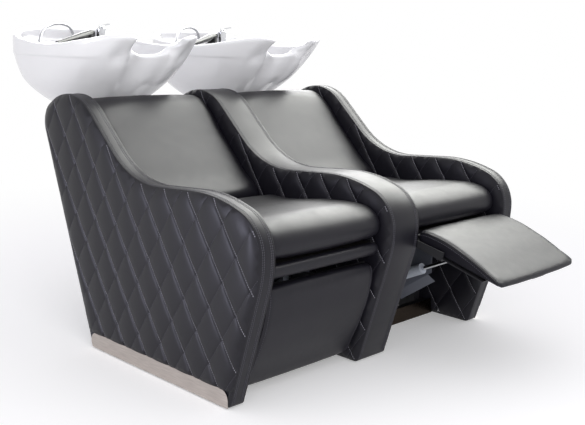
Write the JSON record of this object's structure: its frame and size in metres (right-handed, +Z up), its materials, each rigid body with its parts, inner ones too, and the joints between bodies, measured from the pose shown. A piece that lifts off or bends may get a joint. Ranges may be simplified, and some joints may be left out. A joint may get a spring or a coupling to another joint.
{
  "type": "double backwash unit",
  "caption": "Two reclined shampoo seats between quilted side panels, each with an electric leg rest and a tilting ceramic bowl with mixer and handshower.",
  "frame": {"origin": "on the floor under the centre of the bounding box, one leg rest raised as in the picture", "axes": "+Z up, +Y from the leg rests towards the bowls, +X towards the seat with the raised leg rest"},
  "size_m": [1.223, 1.781, 1.0542],
  "materials": {
    "black_upholstery": "soft satin",
    "panel_board": "raw board",
    "seat_board": "black stained board",
    "satin_steel": "satin",
    "tinted_steel": "tinted satin",
    "screw_steel": "bright",
    "dark_frame": "satin",
    "dark_cover": "satin",
    "grey_actuator": "satin",
    "chrome": "polished",
    "chrome_hose": "ribbed chrome",
    "white_ceramic": "glossy glaze",
    "black_gloss": "glossy",
    "black_plastic": "matte",
    "button_grey": "matte"
  },
  "bodies": {
    "root": {"left_panel_core": "panel_board", "left_panel_band": "black_upholstery", "left_panel_quilts": "black_upholstery", "middle_panel_core": "panel_board", "middle_panel_band": "black_upholstery", "middle_panel_quilts": "black_upholstery", "right_panel_core": "panel_board", "right_panel_band": "black_upholstery", "right_panel_quilts": "black_upholstery", "kick_plates": "satin_steel", "panel_glides": "black_plastic", "seat_boards": "seat_board", "backrest_boards": "seat_board", "base_frames": "dark_frame", "plinths": "tinted_steel", "panel_screws": "screw_steel", "mechanism_covers": "dark_cover", "rear_covers": "dark_cover", "bowl_columns": "dark_frame", "switch_plates": "black_plastic", "left_seat_cushion": "black_upholstery", "left_backrest": "black_upholstery", "left_front_strip": "black_upholstery", "left_legrest_axles": "screw_steel", "right_seat_cushion": "black_upholstery", "right_backrest": "black_upholstery", "right_front_strip": "black_upholstery", "right_legrest_axles": "screw_steel"},
    "left_legrest": {"left_legrest_pad": "black_upholstery", "left_legrest_frame": "dark_frame"},
    "left_actuator_tube": {"left_actuator_tube": "grey_actuator"},
    "left_actuator_rod": {"left_actuator_rod": "chrome"},
    "left_bowl": {"left_bowl": "white_ceramic", "left_bowl_yoke": "dark_frame", "left_waste": "chrome", "left_mixer": "chrome", "left_shower_cradle": "black_plastic", "left_shower_hose": "chrome_hose"},
    "left_mixer_cap": {"left_mixer_cap": "chrome"},
    "left_mixer_lever": {"left_mixer_lever": "chrome"},
    "left_handshower": {"left_handshower": "black_gloss"},
    "left_up_button": {"left_up_button": "button_grey"},
    "left_down_button": {"left_down_button": "button_grey"},
    "right_legrest": {"right_legrest_pad": "black_upholstery", "right_legrest_frame": "dark_frame"},
    "right_actuator_tube": {"right_actuator_tube": "grey_actuator"},
    "right_actuator_rod": {"right_actuator_rod": "chrome"},
    "right_bowl": {"right_bowl": "white_ceramic", "right_bowl_yoke": "dark_frame", "right_waste": "chrome", "right_mixer": "chrome", "right_shower_cradle": "black_plastic", "right_shower_hose": "chrome_hose"},
    "right_mixer_cap": {"right_mixer_cap": "chrome"},
    "right_mixer_lever": {"right_mixer_lever": "chrome"},
    "right_handshower": {"right_handshower": "black_gloss"},
    "right_up_button": {"right_up_button": "button_grey"},
    "right_down_button": {"right_down_button": "button_grey"}
  },
  "joints": [
    {"name": "left_legrest_hinge", "type": "hinge", "parent": "root", "child": "left_legrest", "pos_m": [-0.3105, -0.51601, 0.404], "axis": [-1, 0, 0], "range_deg": [0, 88]},
    {"name": "left_actuator_pivot", "type": "hinge", "parent": "root", "child": "left_actuator_tube", "pos_m": [-0.3105, -0.13201, 0.098], "axis": [1, 0, 0], "range_deg": [0, 12.64]},
    {"name": "left_actuator_slide", "type": "slide", "parent": "left_actuator_tube", "child": "left_actuator_rod", "axis": [0, -0.7924, 0.6099], "range_m": [0, 0.13545]},
    {"name": "left_bowl_tilt", "type": "hinge", "parent": "root", "child": "left_bowl", "pos_m": [-0.3105, 0.51299, 0.706], "axis": [1, 0, 0], "range_deg": [-10, 5]},
    {"name": "left_cap_turn", "type": "hinge", "parent": "left_bowl", "child": "left_mixer_cap", "pos_m": [-0.1615, 0.80999, 1.026], "axis": [0, 0, 1], "range_deg": [-45, 45]},
    {"name": "left_lever_lift", "type": "hinge", "parent": "left_mixer_cap", "child": "left_mixer_lever", "pos_m": [-0.1615, 0.80999, 1.0433], "axis": [-1, 0, 0], "range_deg": [0, 22]},
    {"name": "left_shower_lift", "type": "slide", "parent": "left_bowl", "child": "left_handshower", "axis": [0, 0, 1], "range_m": [0, 0.06]},
    {"name": "left_up_press", "type": "slide", "parent": "root", "child": "left_up_button", "axis": [-1, 0, 0], "range_m": [0, 0.0025], "stiffness_N_per_m": 400, "springref_m": -0.001},
    {"name": "left_down_press", "type": "slide", "parent": "root", "child": "left_down_button", "axis": [-1, 0, 0], "range_m": [0, 0.0025], "stiffness_N_per_m": 400, "springref_m": -0.001},
    {"name": "right_legrest_hinge", "type": "hinge", "parent": "root", "child": "right_legrest", "pos_m": [0.3105, -0.51601, 0.404], "axis": [-1, 0, 0], "range_deg": [-88, 0]},
    {"name": "right_actuator_pivot", "type": "hinge", "parent": "root", "child": "right_actuator_tube", "pos_m": [0.3105, -0.13201, 0.098], "axis": [1, 0, 0], "range_deg": [-12.64, 0]},
    {"name": "right_actuator_slide", "type": "slide", "parent": "right_actuator_tube", "child": "right_actuator_rod", "axis": [0, -0.9067, 0.4218], "range_m": [-0.13545, 0]},
    {"name": "right_bowl_tilt", "type": "hinge", "parent": "root", "child": "right_bowl", "pos_m": [0.3105, 0.51299, 0.706], "axis": [1, 0, 0], "range_deg": [-10, 5]},
    {"name": "right_cap_turn", "type": "hinge", "parent": "right_bowl", "child": "right_mixer_cap", "pos_m": [0.4595, 0.80999, 1.026], "axis": [0, 0, 1], "range_deg": [-45, 45]},
    {"name": "right_lever_lift", "type": "hinge", "parent": "right_mixer_cap", "child": "right_mixer_lever", "pos_m": [0.4595, 0.80999, 1.0433], "axis": [-1, 0, 0], "range_deg": [0, 22]},
    {"name": "right_shower_lift", "type": "slide", "parent": "right_bowl", "child": "right_handshower", "axis": [0, 0, 1], "range_m": [0, 0.06]},
    {"name": "right_up_press", "type": "slide", "parent": "root", "child": "right_up_button", "axis": [-1, 0, 0], "range_m": [0, 0.0025], "stiffness_N_per_m": 400, "springref_m": -0.001},
    {"name": "right_down_press", "type": "slide", "parent": "root", "child": "right_down_button", "axis": [-1, 0, 0], "range_m": [0, 0.0025], "stiffness_N_per_m": 400, "springref_m": -0.001}
  ],
  "couplings": [
    {"joint": "left_actuator_pivot", "follows": "left_legrest_hinge", "ratio": 0.14359},
    {"joint": "left_actuator_slide", "follows": "left_legrest_hinge", "m_per_rad": 0.088186},
    {"joint": "right_actuator_pivot", "follows": "right_legrest_hinge", "ratio": 0.14359},
    {"joint": "right_actuator_slide", "follows": "right_legrest_hinge", "m_per_rad": 0.088186}
  ]
}
